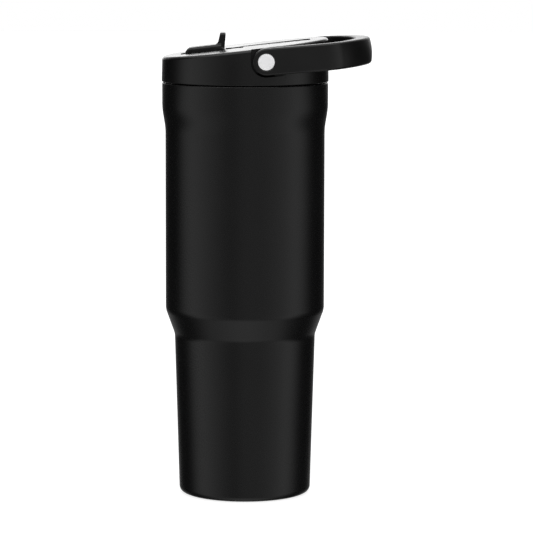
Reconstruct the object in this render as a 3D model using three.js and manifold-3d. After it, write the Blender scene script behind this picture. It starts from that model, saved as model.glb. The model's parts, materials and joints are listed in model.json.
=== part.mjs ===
// Insulated travel mug: a double-walled steel tumbler with a screw-in lid, a flip-up spout and a swinging handle.
// Millimetres, +Z up. The origin is on the mug's axis, on the surface it stands on.
// +X is the side that the handle folds back to, and the drinker is at -X.
import * as THREE from "three";
import { mergeVertices } from "three/addons/utils/BufferGeometryUtils.js";
import Module from "manifold-3d";

const wasm = await Module();
wasm.setup();

// ---- Driving dimensions ----

// Tumbler body: outside radii and the heights where the outline changes.
const FOOT_RADIUS = 35.65;
const LOWER_RADIUS = 37.97;
const UPPER_RADIUS = 42.85;
const COLLAR_RADIUS = 44.65;
const FOOT_ROUND = 3.6;
const SHOULDER_BOTTOM = 87.9;
const SHOULDER_TOP = 100.5;
const COLLAR_BOTTOM = 196;
const COLLAR_TOP = 214;
const RIM_HEIGHT = 223.7;
const WALL = 0.7;
const VACUUM_GAP = 1.95;
const LINER_FLOOR = 8;
const BASE_CAP_RADIUS = 30.3;
const BASE_CAP_THICKNESS = 0.9;

// Lid: a drum whose top slopes up towards the handle's side.
const SEAM_GAP = 1;
const LID_RADIUS = 45;
const LID_TOP_RADIUS = 44.75;
const LID_FRONT_HEIGHT = 237.7;
const TOP_SLOPE = 0.1155;
const LID_EDGE_ROUND = 1.8;
const LID_WALL = 2.3;
const PLUG_RADIUS = 37.6;
const PLUG_WALL = 2.2;
const PLUG_BOTTOM = 205.5;
const THREAD_WIRE = 0.9;
const THREAD_PITCH = 5;

// Handle: a flat band bent into a loop, on two pivots in the lid's sides.
const PIVOT_X = 11.1;
const PIVOT_Z = 236.9;
const HANDLE_REST_TILT = THREE.MathUtils.degToRad(4.8);
const BAND_HEIGHT = 14.3;
const BAND_OUTER_Y = 46.2;
const BAND_INNER_Y = 40.6;
const BAND_ROUND = 1.2;
const CORNER_X = 29.8;
const CORNER_RADIUS = 15;
const NOSE_OUTER_X = 57.4;
const NOSE_THICKNESS = 8.5;
const POCKET_FACE_Y = 39.6;
const POCKET_CLEARANCE = 0.85;
const PIN_RADIUS = 2.5;
const CAP_RADIUS = 4.4;

// Spout: a mouthpiece that lies along the lid's top, a round barrel it turns on, and an upright thumb tab.
const SPOUT_X = -13.7;
const SPOUT_AXIS_DEPTH = 2.6;
const BARREL_RADIUS = 4.2;
const SPOUT_HALF_WIDTH = 7.6;
const MOUTHPIECE_LENGTH = 18.9;
const MOUTHPIECE_TOP = 5.8;
const MOUTHPIECE_BOTTOM = -1.8;
const TAB_TOP = 11.95;
const TAB_HALF_WIDTH = 6;
const SPOUT_BORE = 2.4;
const SPOUT_OPENS = THREE.MathUtils.degToRad(83.4);

// Straw and the passages through the lid.
const PORT_X = -15.7;
const VENT_X = -28;
const STRAW_RADIUS = 4;
const STRAW_WALL = 0.7;
const STRAW_BOTTOM = 12;
const STRAW_TOP = 214;
const CONNECTOR_RADIUS = 5.2;

// Clearance between neighbouring pieces, and how finely round pieces are divided.
const GAP = 0.3;
const ROUND = 40;
const SMALL_ROUND = 16;

// Values that follow from the ones above.
const LID_BOTTOM = RIM_HEIGHT + SEAM_GAP;
const TOP_TILT = Math.atan(TOP_SLOPE);
const SPOUT_Z = lidTopAt(SPOUT_X) - SPOUT_AXIS_DEPTH;
const NECK_RADIUS = UPPER_RADIUS - 2 * WALL - VACUUM_GAP;
const FLANGE_BOTTOM = LID_BOTTOM + 0.2;
const FLANGE_TOP = FLANGE_BOTTOM + PLUG_WALL;
const WELL_BLOCK_DEPTH = 9.4;
const WELL_DEPTH = 5.8;
const HEEL_SHELF_DEPTH = 3.8;
const TAB_RECESS_DEPTH = 6.9;

function lidTopAt(x) {
  return LID_FRONT_HEIGHT + TOP_SLOPE * (x + LID_RADIUS);
}

// How high an upright tube can reach below the sloping underside of the spout's well.
function roomUnderWell(x, radius) {
  return lidTopAt(x - radius) - WELL_BLOCK_DEPTH - GAP;
}

// ---- Geometry helpers ----

function solidOf(geometry) {
  const bare = geometry.index ? geometry.toNonIndexed() : geometry.clone();
  bare.deleteAttribute("normal");
  bare.deleteAttribute("uv");
  const merged = mergeVertices(bare, 1e-3);
  const mesh = new wasm.Mesh({
    numProp: 3,
    vertProperties: new Float32Array(merged.getAttribute("position").array),
    triVerts: new Uint32Array(merged.index.array),
  });
  return new wasm.Manifold(mesh);
}

function geometryOf(solid) {
  const mesh = solid.getMesh();
  const geometry = new THREE.BufferGeometry();
  geometry.setAttribute("position", new THREE.BufferAttribute(mesh.vertProperties, 3));
  geometry.setIndex(new THREE.BufferAttribute(mesh.triVerts, 1));
  const flat = geometry.toNonIndexed();
  flat.computeVertexNormals();
  return flat;
}

// A profile of [radius, height] points, turned about the vertical axis.
function turned(profile, segments = ROUND) {
  const points = profile.map(([radius, height]) => new THREE.Vector2(radius, height));
  const geometry = new THREE.LatheGeometry(points, segments);
  geometry.rotateX(Math.PI / 2);
  return geometry;
}

// A ring with a rectangular section about the vertical axis.
function ring(innerRadius, outerRadius, bottom, top, segments = ROUND) {
  return turned(
    [
      [innerRadius, bottom],
      [outerRadius, bottom],
      [outerRadius, top],
      [innerRadius, top],
      [innerRadius, bottom],
    ],
    segments,
  );
}

function disc(radius, bottom, top, segments = ROUND) {
  return turned(
    [
      [0, bottom],
      [radius, bottom],
      [radius, top],
      [0, top],
    ],
    segments,
  );
}

// Turns a piece made about the vertical axis so that its height points out along +Y or -Y.
function alongSide(geometry, side) {
  return geometry.rotateX(side > 0 ? -Math.PI / 2 : Math.PI / 2);
}

// A shape drawn in the side view, x across and z up, and spread along Y about the middle.
function sideExtrusion(shape, halfWidth, round = 0) {
  const geometry = new THREE.ExtrudeGeometry(shape, {
    depth: 2 * (halfWidth - round),
    curveSegments: 8,
    bevelEnabled: round > 0,
    bevelThickness: round,
    bevelSize: round,
    bevelOffset: -round,
    bevelSegments: 2,
  });
  geometry.translate(0, 0, round - halfWidth);
  geometry.rotateX(Math.PI / 2);
  return geometry;
}

function polygon(points) {
  return new THREE.Shape(points.map(([x, z]) => new THREE.Vector2(x, z)));
}

// A block that follows the lid's sloping top between two depths below it.
function blockUnderTop(fromX, toX, shallow, deep, halfWidth) {
  const shape = polygon([
    [fromX, lidTopAt(fromX) - deep],
    [toX, lidTopAt(toX) - deep],
    [toX, lidTopAt(toX) - shallow],
    [fromX, lidTopAt(fromX) - shallow],
  ]);
  return solidOf(sideExtrusion(shape, halfWidth));
}

// Raises the top of a lid piece with x, so that it slopes while its lower edge stays level.
function slopeTop(geometry, fromHeight) {
  const position = geometry.getAttribute("position");
  for (let i = 0; i < position.count; i += 1) {
    if (position.getZ(i) > fromHeight) {
      const rise = TOP_SLOPE * (position.getX(i) + LID_RADIUS);
      position.setZ(i, position.getZ(i) + rise);
    }
  }
  return geometry;
}

// A screw thread's round ridge, one turn and a little more.
class Helix extends THREE.Curve {
  constructor(radius, bottom, turns) {
    super();
    this.radius = radius;
    this.bottom = bottom;
    this.turns = turns;
  }

  getPoint(t, target = new THREE.Vector3()) {
    const angle = 2 * Math.PI * this.turns * t;
    return target.set(
      this.radius * Math.cos(angle),
      this.radius * Math.sin(angle),
      this.bottom + THREAD_PITCH * this.turns * t,
    );
  }
}

function threadRidge(radius, bottom, turns) {
  const wire = new THREE.Shape();
  wire.absarc(0, 0, THREAD_WIRE, 0, 2 * Math.PI, false);
  const geometry = new THREE.ExtrudeGeometry(wire, {
    steps: Math.round(30 * turns),
    curveSegments: 3,
    extrudePath: new Helix(radius, bottom, turns),
  });
  return solidOf(geometry);
}

// ---- Tumbler ----

// The outside outline of the tumbler from the foot to the rim.
function bodyOutline() {
  const path = new THREE.Path();
  path.moveTo(FOOT_RADIUS - FOOT_ROUND, 0);
  path.quadraticCurveTo(FOOT_RADIUS, 0, FOOT_RADIUS, FOOT_ROUND);
  path.lineTo(LOWER_RADIUS, SHOULDER_BOTTOM - 2.6);
  path.quadraticCurveTo(LOWER_RADIUS, SHOULDER_BOTTOM, LOWER_RADIUS + 0.95, SHOULDER_BOTTOM + 2.4);
  path.lineTo(UPPER_RADIUS - 0.6, SHOULDER_TOP - 1.5);
  path.quadraticCurveTo(UPPER_RADIUS, SHOULDER_TOP, UPPER_RADIUS, SHOULDER_TOP + 1.7);
  path.lineTo(UPPER_RADIUS, COLLAR_BOTTOM);
  path.bezierCurveTo(UPPER_RADIUS, 203, COLLAR_RADIUS, 207, COLLAR_RADIUS, COLLAR_TOP);
  path.lineTo(COLLAR_RADIUS, RIM_HEIGHT - 1.2);
  path.quadraticCurveTo(COLLAR_RADIUS, RIM_HEIGHT, COLLAR_RADIUS - 1.2, RIM_HEIGHT);
  return path.getPoints(4);
}

// The pressed outer wall, with a closed bottom that has the exhaust hole in its middle.
function outerShell() {
  const outside = bodyOutline().map((point) => [point.x, point.y]);
  const lipInner = COLLAR_RADIUS - 2.2;
  const footInner = BASE_CAP_RADIUS + GAP;
  const floor = 2.4;
  const profile = [
    [1.6, floor],
    [footInner, floor],
    [footInner, 0],
    ...outside,
    [lipInner, RIM_HEIGHT],
    [lipInner, RIM_HEIGHT - WALL],
    [COLLAR_RADIUS - WALL - 0.4, RIM_HEIGHT - WALL - 0.4],
    [COLLAR_RADIUS - WALL, RIM_HEIGHT - 3],
    [COLLAR_RADIUS - WALL, COLLAR_TOP],
    [(COLLAR_RADIUS + UPPER_RADIUS) / 2 - WALL, 205],
    [UPPER_RADIUS - WALL, COLLAR_BOTTOM],
    [UPPER_RADIUS - WALL, SHOULDER_TOP + 1],
    [LOWER_RADIUS - WALL, SHOULDER_BOTTOM],
    [FOOT_RADIUS - WALL, FOOT_ROUND + 1],
    [FOOT_RADIUS - 2, floor + WALL],
    [1.6, floor + WALL],
    [1.6, floor],
  ];
  return turned(profile);
}

// The deep-drawn steel cup inside, flanged at the rim, with a rolled screw thread in its neck.
function innerLiner() {
  const stepIn = WALL + VACUUM_GAP;
  const lowerRadius = LOWER_RADIUS - stepIn;
  const floorRadius = FOOT_RADIUS - stepIn + 0.4;
  const flangeRadius = COLLAR_RADIUS - 2.2 - GAP;
  const corner = 7;
  const outside = [
    [0, LINER_FLOOR - WALL],
    [floorRadius - corner, LINER_FLOOR - WALL],
    [floorRadius - corner * 0.3, LINER_FLOOR - WALL + corner * 0.3],
    [floorRadius, LINER_FLOOR - WALL + corner],
    [lowerRadius, SHOULDER_BOTTOM - 1],
    [NECK_RADIUS + WALL, SHOULDER_TOP + 1],
    [NECK_RADIUS + WALL, RIM_HEIGHT - WALL],
    [flangeRadius, RIM_HEIGHT - WALL],
    [flangeRadius, RIM_HEIGHT],
  ];
  const inside = [
    [NECK_RADIUS + 0.5, RIM_HEIGHT],
    [NECK_RADIUS, RIM_HEIGHT - 0.6],
    [NECK_RADIUS, SHOULDER_TOP + 1],
    [lowerRadius - WALL, SHOULDER_BOTTOM - 1],
    [floorRadius - WALL, LINER_FLOOR + corner],
    [floorRadius - WALL - corner * 0.3, LINER_FLOOR + corner * 0.3],
    [floorRadius - WALL - corner, LINER_FLOOR],
    [0, LINER_FLOOR],
  ];
  const cup = solidOf(turned([...outside, ...inside]));
  const thread = threadRidge(NECK_RADIUS + 0.15, 212, 1.1);
  return geometryOf(cup.add(thread));
}

function baseCap() {
  const grooveDepth = 0.4;
  return turned([
    [0, 0],
    [17, 0],
    [17.4, grooveDepth],
    [24.6, grooveDepth],
    [25, 0],
    [BASE_CAP_RADIUS - 0.3, 0],
    [BASE_CAP_RADIUS, 0.3],
    [BASE_CAP_RADIUS, BASE_CAP_THICKNESS],
    [0, BASE_CAP_THICKNESS],
  ]);
}

// The bead that closes the exhaust hole once the space between the walls is empty.
function vacuumSeal() {
  return turned(
    [
      [0, 1.2],
      [2.4, 1.2],
      [3, 1.7],
      [2.6, 2.1],
      [1.3, 2.1],
      [1.3, 3.2],
      [0, 3.2],
    ],
    SMALL_ROUND,
  );
}

// The pellet that takes up stray gas in the vacuum, held under the liner's floor.
function getterPellet() {
  return disc(5, 4.6, 6.9, SMALL_ROUND);
}

// ---- Lid ----

// The lid's outer form, solid.
function lidBlank() {
  const profile = new THREE.Path();
  profile.moveTo(0, LID_BOTTOM);
  profile.lineTo(LID_RADIUS - 0.5, LID_BOTTOM);
  profile.lineTo(LID_RADIUS, LID_BOTTOM + 0.5);
  profile.lineTo(LID_TOP_RADIUS, LID_FRONT_HEIGHT - LID_EDGE_ROUND);
  profile.absarc(
    LID_TOP_RADIUS - LID_EDGE_ROUND,
    LID_FRONT_HEIGHT - LID_EDGE_ROUND,
    LID_EDGE_ROUND,
    0,
    Math.PI / 2,
    false,
  );
  profile.lineTo(0, LID_FRONT_HEIGHT);
  const points = profile.getPoints(4).map((point) => [point.x, point.y]);
  return solidOf(slopeTop(turned(points), LID_BOTTOM + 5));
}

// The hollow under the lid's top and inside its skirt.
function lidHollow() {
  const profile = [
    [0, LID_BOTTOM - 1],
    [LID_RADIUS - LID_WALL, LID_BOTTOM - 1],
    [LID_TOP_RADIUS - LID_WALL, LID_FRONT_HEIGHT - LID_WALL],
    [0, LID_FRONT_HEIGHT - LID_WALL],
  ];
  return solidOf(slopeTop(turned(profile), LID_BOTTOM + 5));
}

// The notch in the lid's side that the handle's hub turns in, drawn in the side view.
function pocketShape() {
  const radius = BAND_HEIGHT / 2 + POCKET_CLEARANCE;
  const reach = 40;
  const shape = new THREE.Shape();
  shape.moveTo(PIVOT_X - radius, PIVOT_Z + reach);
  shape.lineTo(PIVOT_X - radius, PIVOT_Z);
  shape.absarc(PIVOT_X, PIVOT_Z, radius, Math.PI, 1.5 * Math.PI + HANDLE_REST_TILT, false);
  shape.lineTo(
    PIVOT_X + radius * Math.sin(HANDLE_REST_TILT) + reach * Math.cos(HANDLE_REST_TILT),
    PIVOT_Z - radius * Math.cos(HANDLE_REST_TILT) + reach * Math.sin(HANDLE_REST_TILT),
  );
  shape.lineTo(PIVOT_X + reach, PIVOT_Z + reach);
  return shape;
}

// A cylinder along Y at a place in the side view, from one distance from the middle to another.
function crossBar(x, z, radius, fromY, toY, segments = SMALL_ROUND) {
  const near = Math.min(fromY, toY);
  const far = Math.max(fromY, toY);
  const geometry = alongSide(disc(radius, near, far, segments), 1);
  return geometry.translate(x, 0, z);
}

// The well that the folded mouthpiece lies in, with a round seat for the barrel and a shallow
// shelf behind it that the raised mouthpiece's heel turns down onto.
function spoutWell() {
  const halfWidth = SPOUT_HALF_WIDTH + 2 * GAP;
  const front = SPOUT_X - MOUTHPIECE_LENGTH - 2;
  const heelEnd = SPOUT_X + MOUTHPIECE_TOP + 2 * GAP;
  const heelShelf = blockUnderTop(SPOUT_X, heelEnd, -10, HEEL_SHELF_DEPTH, halfWidth);
  const trench = blockUnderTop(front, SPOUT_X, -10, WELL_DEPTH, halfWidth).add(heelShelf);
  const seatRadius = BARREL_RADIUS + GAP + 0.05;
  const seat = crossBar(SPOUT_X, SPOUT_Z, seatRadius, -halfWidth, halfWidth, ROUND);
  return trench.add(solidOf(seat));
}

// The recess that the thumb tab folds into, and the shallow finger trough behind it.
function tabRecess() {
  const tabEnd = SPOUT_X + TAB_TOP + 0.6;
  const recess = blockUnderTop(SPOUT_X, tabEnd, -10, TAB_RECESS_DEPTH, TAB_HALF_WIDTH + GAP);
  const troughEnd = 35;
  const trough = polygon([
    [tabEnd - 2, lidTopAt(tabEnd - 2) - 0.35],
    [troughEnd, lidTopAt(troughEnd) - 1.15],
    [troughEnd, lidTopAt(troughEnd) + 5],
    [tabEnd - 2, lidTopAt(tabEnd - 2) + 5],
  ]);
  return recess.add(solidOf(sideExtrusion(trough, 10)));
}

function lidCover() {
  const blank = lidBlank();
  const wellBlock = blockUnderTop(-37.6, 1.8, 1, WELL_BLOCK_DEPTH, SPOUT_HALF_WIDTH + 5);
  let cover = blank.subtract(lidHollow()).add(wellBlock.intersect(blank));

  for (const side of [-1, 1]) {
    const backing = new THREE.BoxGeometry(24, 7, 40);
    backing.translate(12.6, side * (POCKET_FACE_Y + 0.5), FLANGE_TOP + 0.4 + 20);
    const boss = crossBar(PIVOT_X, PIVOT_Z, 5.6, side * 30.4, side * 38);
    const support = solidOf(backing).add(solidOf(boss));
    cover = cover.add(support.intersect(blank));
  }
  for (const side of [-1, 1]) {
    const pocket = sideExtrusion(pocketShape(), 5);
    pocket.translate(0, side * (POCKET_FACE_Y + 5), 0);
    const pinHole = crossBar(PIVOT_X, PIVOT_Z, PIN_RADIUS + GAP, side * 31.2, side * 42);
    const spoutPinHole = crossBar(SPOUT_X, SPOUT_Z, 1.2, side * 6, side * 12);
    cover = cover.subtract(solidOf(pocket)).subtract(solidOf(pinHole));
    cover = cover.subtract(solidOf(spoutPinHole));
  }

  const portHole = disc(4.5, 225, 236, SMALL_ROUND).translate(PORT_X, 0, 0);
  const ventHole = disc(1.35, 225, 236, SMALL_ROUND).translate(VENT_X, 0, 0);
  cover = cover.subtract(spoutWell()).subtract(tabRecess());
  cover = cover.subtract(solidOf(portHole)).subtract(solidOf(ventHole));
  return geometryOf(cover);
}

// The threaded cup that screws into the neck, with chimneys for the straw's passage and the air vent.
function lidPlug() {
  const floorTop = PLUG_BOTTOM + 2;
  const flangeRadius = LID_RADIUS - LID_WALL - GAP;
  const cup = turned([
    [0, PLUG_BOTTOM],
    [PLUG_RADIUS - 0.8, PLUG_BOTTOM],
    [PLUG_RADIUS, PLUG_BOTTOM + 0.8],
    [PLUG_RADIUS, FLANGE_BOTTOM],
    [flangeRadius, FLANGE_BOTTOM],
    [flangeRadius, FLANGE_TOP],
    [PLUG_RADIUS - PLUG_WALL, FLANGE_TOP],
    [PLUG_RADIUS - PLUG_WALL, floorTop],
    [0, floorTop],
  ]);
  let plug = solidOf(cup).add(threadRidge(PLUG_RADIUS + 0.05, 213.5, 1.1));

  const chimneys = [
    { x: PORT_X, bore: 5.5 },
    { x: VENT_X, bore: 2.4 },
  ];
  for (const { x, bore } of chimneys) {
    const outer = bore + 1.4;
    const top = roomUnderWell(x, outer);
    const tube = disc(outer, PLUG_BOTTOM + 0.5, top, SMALL_ROUND).translate(x, 0, 0);
    const hole = disc(bore, PLUG_BOTTOM - 1, top + 1, SMALL_ROUND).translate(x, 0, 0);
    plug = plug.add(solidOf(tube)).subtract(solidOf(hole));
  }
  return geometryOf(plug);
}

// The flat silicone ring between the lid's flange and the tumbler's rim.
function lidGasket() {
  const bottom = RIM_HEIGHT + 0.25;
  return ring(PLUG_RADIUS + 1.3, COLLAR_RADIUS - 2.6, bottom, FLANGE_BOTTOM - 0.25);
}

// The silicone sleeve that seals against the underside of the spout's barrel.
function portSeal() {
  const bottom = roomUnderWell(PORT_X, CONNECTOR_RADIUS) + GAP;
  const sleeve = ring(2.2, 4.2, bottom, 234.7, SMALL_ROUND).translate(PORT_X, 0, 0);
  const barrelSpace = crossBar(SPOUT_X, SPOUT_Z, BARREL_RADIUS + GAP, -9, 9, ROUND);
  return geometryOf(solidOf(sleeve).subtract(solidOf(barrelSpace)));
}

// The socket that holds the straw's top end in the plug's chimney.
function strawConnector() {
  const top = roomUnderWell(PORT_X, CONNECTOR_RADIUS);
  const bottom = PLUG_BOTTOM - 3;
  return turned(
    [
      [STRAW_RADIUS + GAP, bottom],
      [7.2, bottom],
      [7.2, PLUG_BOTTOM - GAP],
      [CONNECTOR_RADIUS, PLUG_BOTTOM - GAP],
      [CONNECTOR_RADIUS, top],
      [2.5, top],
      [2.5, STRAW_TOP + 1.5],
      [STRAW_RADIUS + GAP, STRAW_TOP + GAP],
      [STRAW_RADIUS + GAP, bottom],
    ],
    SMALL_ROUND,
  ).translate(PORT_X, 0, 0);
}

function straw() {
  const bore = STRAW_RADIUS - STRAW_WALL;
  return ring(bore, STRAW_RADIUS, STRAW_BOTTOM, STRAW_TOP, SMALL_ROUND).translate(PORT_X, 0, 0);
}

// The small umbrella valve that lets air in, standing square to the well's floor.
function ventValve() {
  const underside = WELL_DEPTH - WELL_BLOCK_DEPTH;
  return turned(
    [
      [0, underside - 2.4],
      [1, underside - 2.4],
      [1.8, underside - 1.2],
      [0.95, underside - 0.5],
      [0.95, GAP],
      [2.8, GAP],
      [2.4, 0.8],
      [0, 1],
    ],
    SMALL_ROUND,
  );
}

// ---- Spout ----

// The spout in its own frame, with the barrel's axis at the origin, folded down.
function spoutSolid() {
  const mouthpiece = new THREE.Shape();
  mouthpiece.moveTo(0, MOUTHPIECE_BOTTOM);
  mouthpiece.lineTo(0, MOUTHPIECE_TOP);
  mouthpiece.lineTo(4 - MOUTHPIECE_LENGTH, MOUTHPIECE_TOP);
  mouthpiece.quadraticCurveTo(1 - MOUTHPIECE_LENGTH, MOUTHPIECE_TOP - 0.4, -MOUTHPIECE_LENGTH, 2.2);
  mouthpiece.quadraticCurveTo(-MOUTHPIECE_LENGTH, MOUTHPIECE_BOTTOM, 2 - MOUTHPIECE_LENGTH, MOUTHPIECE_BOTTOM);
  const body = sideExtrusion(mouthpiece, SPOUT_HALF_WIDTH - 0.1, 1.2).rotateY(-TOP_TILT);
  const barrel = crossBar(0, 0, BARREL_RADIUS, -SPOUT_HALF_WIDTH, SPOUT_HALF_WIDTH, ROUND);

  const tabShape = new THREE.Shape();
  tabShape.moveTo(0, 0);
  tabShape.lineTo(3.7, 0);
  tabShape.lineTo(3.1, TAB_TOP - 1);
  tabShape.quadraticCurveTo(3, TAB_TOP, 2, TAB_TOP);
  tabShape.quadraticCurveTo(0.5, TAB_TOP, 0.5, TAB_TOP - 1);
  tabShape.lineTo(0.15, MOUTHPIECE_TOP + 1.8);
  tabShape.quadraticCurveTo(0, MOUTHPIECE_TOP + 0.1, -1.6, MOUTHPIECE_TOP - 0.4);
  tabShape.lineTo(-1.6, 0);
  const tab = sideExtrusion(tabShape, TAB_HALF_WIDTH);

  let spout = solidOf(body).add(solidOf(barrel)).add(solidOf(tab));

  const boreRise = (MOUTHPIECE_TOP + MOUTHPIECE_BOTTOM) / 2;
  const boreSlope = Math.atan2(boreRise, MOUTHPIECE_LENGTH);
  const bore = disc(SPOUT_BORE, 0, MOUTHPIECE_LENGTH + 3, SMALL_ROUND);
  bore.rotateY(-Math.PI / 2 + boreSlope - TOP_TILT);
  const elbow = new THREE.SphereGeometry(SPOUT_BORE, 16, 10);
  const inletAngle = SPOUT_OPENS - THREE.MathUtils.degToRad(118.4);
  const inlet = disc(SPOUT_BORE - 0.2, 0, BARREL_RADIUS + 2, SMALL_ROUND);
  inlet.rotateY(Math.PI / 2 - inletAngle);
  spout = spout.subtract(solidOf(bore)).subtract(solidOf(elbow)).subtract(solidOf(inlet));

  for (const side of [-1, 1]) {
    const pinHole = crossBar(0, 0, 1.2, side * 4, side * 9);
    spout = spout.subtract(solidOf(pinHole));
  }
  return geometryOf(spout);
}

// ---- Handle ----

// The round end of the loop: a wide arc that blends into the corner arcs of the two arms.
function noseArc(noseX, cornerY, cornerRadius) {
  const reach = noseX - CORNER_X;
  const radius = (reach * reach + cornerY * cornerY - cornerRadius * cornerRadius)
    / (2 * (reach - cornerRadius));
  const angle = Math.asin(cornerY / (radius - cornerRadius));
  return { radius, angle };
}

// The handle's outline seen from above, in its own frame with the pivots at x = 0.
function handleOutline() {
  const cornerY = BAND_OUTER_Y - CORNER_RADIUS;
  const innerCorner = CORNER_RADIUS - (BAND_OUTER_Y - BAND_INNER_Y);
  const innerNoseX = NOSE_OUTER_X - NOSE_THICKNESS;
  const outer = noseArc(NOSE_OUTER_X, cornerY, CORNER_RADIUS);
  const inner = noseArc(innerNoseX, cornerY, innerCorner);
  const end = -BAND_HEIGHT / 2 - 1;
  const quarter = Math.PI / 2;
  const shape = new THREE.Shape();
  shape.moveTo(end, -BAND_OUTER_Y);
  shape.lineTo(CORNER_X, -BAND_OUTER_Y);
  shape.absarc(CORNER_X, -cornerY, CORNER_RADIUS, -quarter, -outer.angle, false);
  shape.absarc(NOSE_OUTER_X - outer.radius, 0, outer.radius, -outer.angle, outer.angle, false);
  shape.absarc(CORNER_X, cornerY, CORNER_RADIUS, outer.angle, quarter, false);
  shape.lineTo(end, BAND_OUTER_Y);
  shape.lineTo(end, BAND_INNER_Y);
  shape.lineTo(CORNER_X, BAND_INNER_Y);
  shape.absarc(CORNER_X, cornerY, innerCorner, quarter, inner.angle, true);
  shape.absarc(innerNoseX - inner.radius, 0, inner.radius, inner.angle, -inner.angle, true);
  shape.absarc(CORNER_X, -cornerY, innerCorner, -inner.angle, -quarter, true);
  shape.lineTo(end, -BAND_INNER_Y);
  return shape;
}

function handleSolid() {
  const loop = new THREE.ExtrudeGeometry(handleOutline(), {
    depth: BAND_HEIGHT - 2 * BAND_ROUND,
    curveSegments: 8,
    bevelThickness: BAND_ROUND,
    bevelSize: BAND_ROUND,
    bevelOffset: -BAND_ROUND,
    bevelSegments: 2,
  });
  loop.translate(0, 0, BAND_ROUND - BAND_HEIGHT / 2);

  const sideView = new THREE.Shape();
  sideView.absarc(0, 0, BAND_HEIGHT / 2, Math.PI / 2, 1.5 * Math.PI, false);
  sideView.lineTo(NOSE_OUTER_X + 5, -BAND_HEIGHT / 2);
  sideView.lineTo(NOSE_OUTER_X + 5, BAND_HEIGHT / 2);
  let handle = solidOf(loop).intersect(solidOf(sideExtrusion(sideView, BAND_OUTER_Y + 5)));

  for (const side of [-1, 1]) {
    const bore = crossBar(0, 0, 3.9, side * (BAND_INNER_Y - 2), side * (BAND_OUTER_Y + 2));
    const capSeat = crossBar(0, 0, CAP_RADIUS + GAP, side * 43.6, side * (BAND_OUTER_Y + 2), ROUND);
    handle = handle.subtract(solidOf(bore)).subtract(solidOf(capSeat));
  }
  return geometryOf(handle);
}

// A steel pin with a flat head, made about the vertical axis: the head ends the far end.
function pivotPin() {
  return turned(
    [
      [0, 31.6],
      [PIN_RADIUS, 31.6],
      [PIN_RADIUS, 43.9],
      [CAP_RADIUS - 0.2, 43.9],
      [CAP_RADIUS - 0.2, 44.6],
      [0, 44.6],
    ],
    SMALL_ROUND,
  );
}

function pivotCap() {
  return turned(
    [
      [0, 44.95],
      [CAP_RADIUS, 44.95],
      [CAP_RADIUS, 45.8],
      [CAP_RADIUS - 0.25, 46.05],
      [0, 46.05],
    ],
    ROUND,
  );
}

// ---- Assembly ----

const FINISHES = {
  powderCoat: { color: 0x1c1c1d, roughness: 0.55, metalness: 0.1 },
  rawSteel: { color: 0xb9bbbd, roughness: 0.35, metalness: 1 },
  blackPlastic: { color: 0x202021, roughness: 0.45, metalness: 0 },
  clearPlastic: { color: 0xbfc4c6, roughness: 0.25, metalness: 0 },
  silicone: { color: 0x2b2b2c, roughness: 0.7, metalness: 0 },
  satinMetal: { color: 0xd6d7d8, roughness: 0.3, metalness: 1 },
  getter: { color: 0x8d8f92, roughness: 0.6, metalness: 0.8 },
};

function piece(name, finish, geometry) {
  const mesh = new THREE.Mesh(geometry, new THREE.MeshStandardMaterial(FINISHES[finish]));
  mesh.name = name;
  return mesh;
}

const mug = new THREE.Group();

const tumbler = new THREE.Group();
tumbler.add(piece("outer_shell", "powderCoat", outerShell()));
tumbler.add(piece("inner_liner", "rawSteel", innerLiner()));
tumbler.add(piece("base_cap", "powderCoat", baseCap()));
tumbler.add(piece("vacuum_seal", "getter", vacuumSeal()));
tumbler.add(piece("getter_pellet", "getter", getterPellet()));
mug.add(tumbler);

const lid = new THREE.Group();
lid.add(piece("lid_cover", "blackPlastic", lidCover()));
lid.add(piece("lid_plug", "blackPlastic", lidPlug()));
lid.add(piece("lid_gasket", "silicone", lidGasket()));
lid.add(piece("port_seal", "silicone", portSeal()));
lid.add(piece("straw_connector", "silicone", strawConnector()));
lid.add(piece("straw", "clearPlastic", straw()));
const valve = piece("vent_valve", "silicone", ventValve());
valve.position.set(VENT_X, 0, lidTopAt(VENT_X) - WELL_DEPTH);
valve.rotation.y = -TOP_TILT;
lid.add(valve);
mug.add(lid);

const spout = new THREE.Group();
spout.position.set(SPOUT_X, 0, SPOUT_Z);
spout.add(piece("spout", "blackPlastic", spoutSolid()));
mug.add(spout);

const handle = new THREE.Group();
handle.position.set(PIVOT_X, 0, PIVOT_Z);
handle.rotation.y = -HANDLE_REST_TILT;
handle.add(piece("handle", "blackPlastic", handleSolid()));
mug.add(handle);

for (const [label, side] of [["left", -1], ["right", 1]]) {
  const spoutPin = disc(0.9, 4.4, 11.6, SMALL_ROUND);
  spout.add(piece(`spout_pin_${label}`, "satinMetal", alongSide(spoutPin, side)));
  handle.add(piece(`pivot_pin_${label}`, "rawSteel", alongSide(pivotPin(), side)));
  handle.add(piece(`pivot_cap_${label}`, "satinMetal", alongSide(pivotCap(), side)));
  const bushing = ring(PIN_RADIUS + GAP, 3.6, 40.9, 43.3, SMALL_ROUND);
  handle.add(piece(`pivot_bushing_${label}`, "clearPlastic", alongSide(bushing, side)));
  const washer = ring(PIN_RADIUS + 0.5, 6.2, POCKET_FACE_Y + GAP, BAND_INNER_Y - GAP, SMALL_ROUND);
  handle.add(piece(`friction_washer_${label}`, "rawSteel", alongSide(washer, side)));
}

export default mug;
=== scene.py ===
"""Insulated travel mug: the fine surfaces, materials, light and camera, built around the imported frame.

Shapes are drawn in millimetres in the frame's own axes and scaled to metres when a mesh is made.
"""

import json
import math

import bmesh
import bpy
from mathutils import Matrix, Vector


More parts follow.
